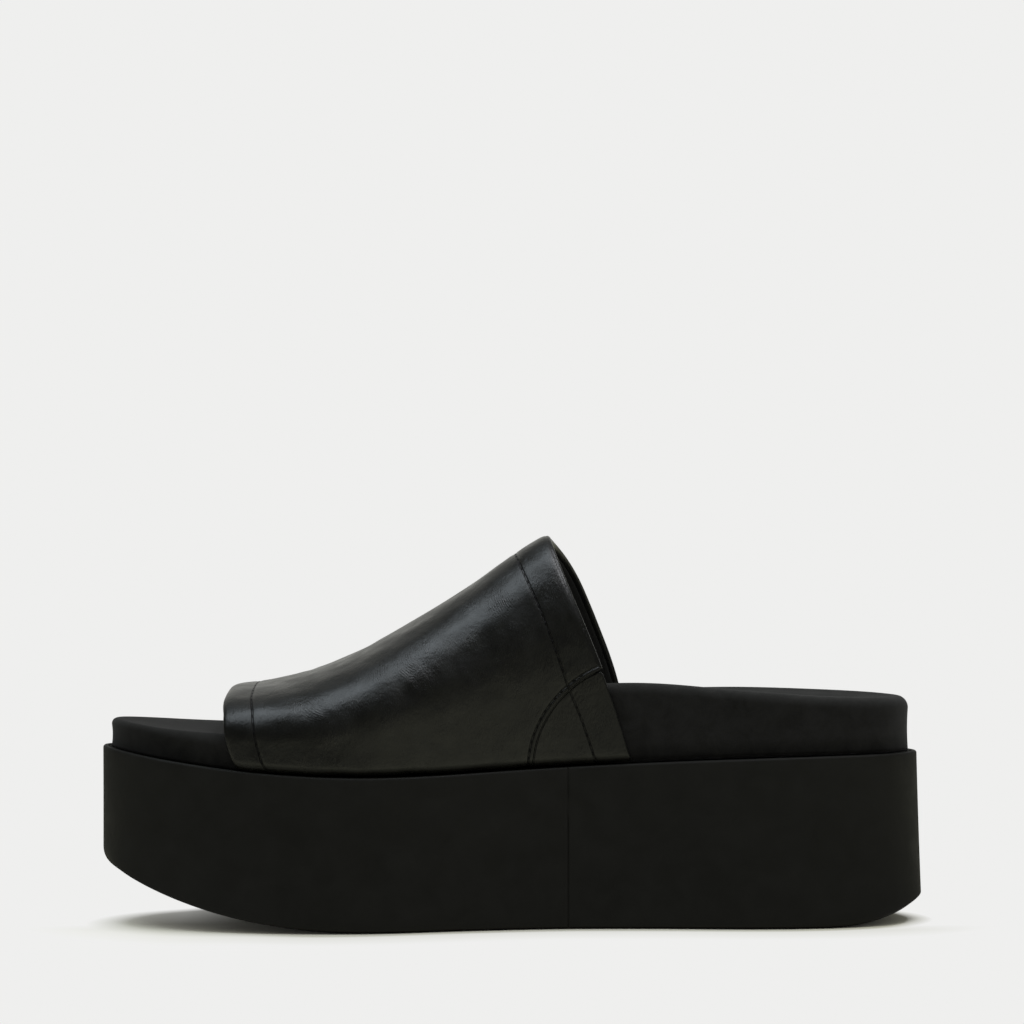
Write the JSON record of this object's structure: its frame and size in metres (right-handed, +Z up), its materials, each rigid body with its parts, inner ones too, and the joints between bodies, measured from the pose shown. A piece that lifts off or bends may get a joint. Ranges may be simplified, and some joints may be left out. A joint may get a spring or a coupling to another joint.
{
  "type": "platform mule",
  "caption": "Open-toe platform mule for the right foot: thick rocker sole, contoured footbed and one broad band over the instep, open at toe, throat and heel.",
  "frame": {"origin": "on the floor, under the middle of the sole's length and width", "axes": "+Z up, +X from toe to heel, -Y towards the inner side of the foot"},
  "size_m": [0.258, 0.0992, 0.1211],
  "materials": {
    "outsole_rubber": "matt black rubber with a fine tread",
    "midsole_foam": "matt black foam, hidden by its cover",
    "sidewall_cover": "matt black, very fine grain",
    "footbed_cover": "matt black brushed microfibre",
    "upper_leather": "smooth black leather, soft satin gloss with fine creases"
  },
  "bodies": {
    "root": {"outsole": "outsole_rubber", "midsole": "midsole_foam", "sidewall": "sidewall_cover", "footbed": "footbed_cover", "upper": "upper_leather", "quarter": "upper_leather"}
  },
  "joints": []
}
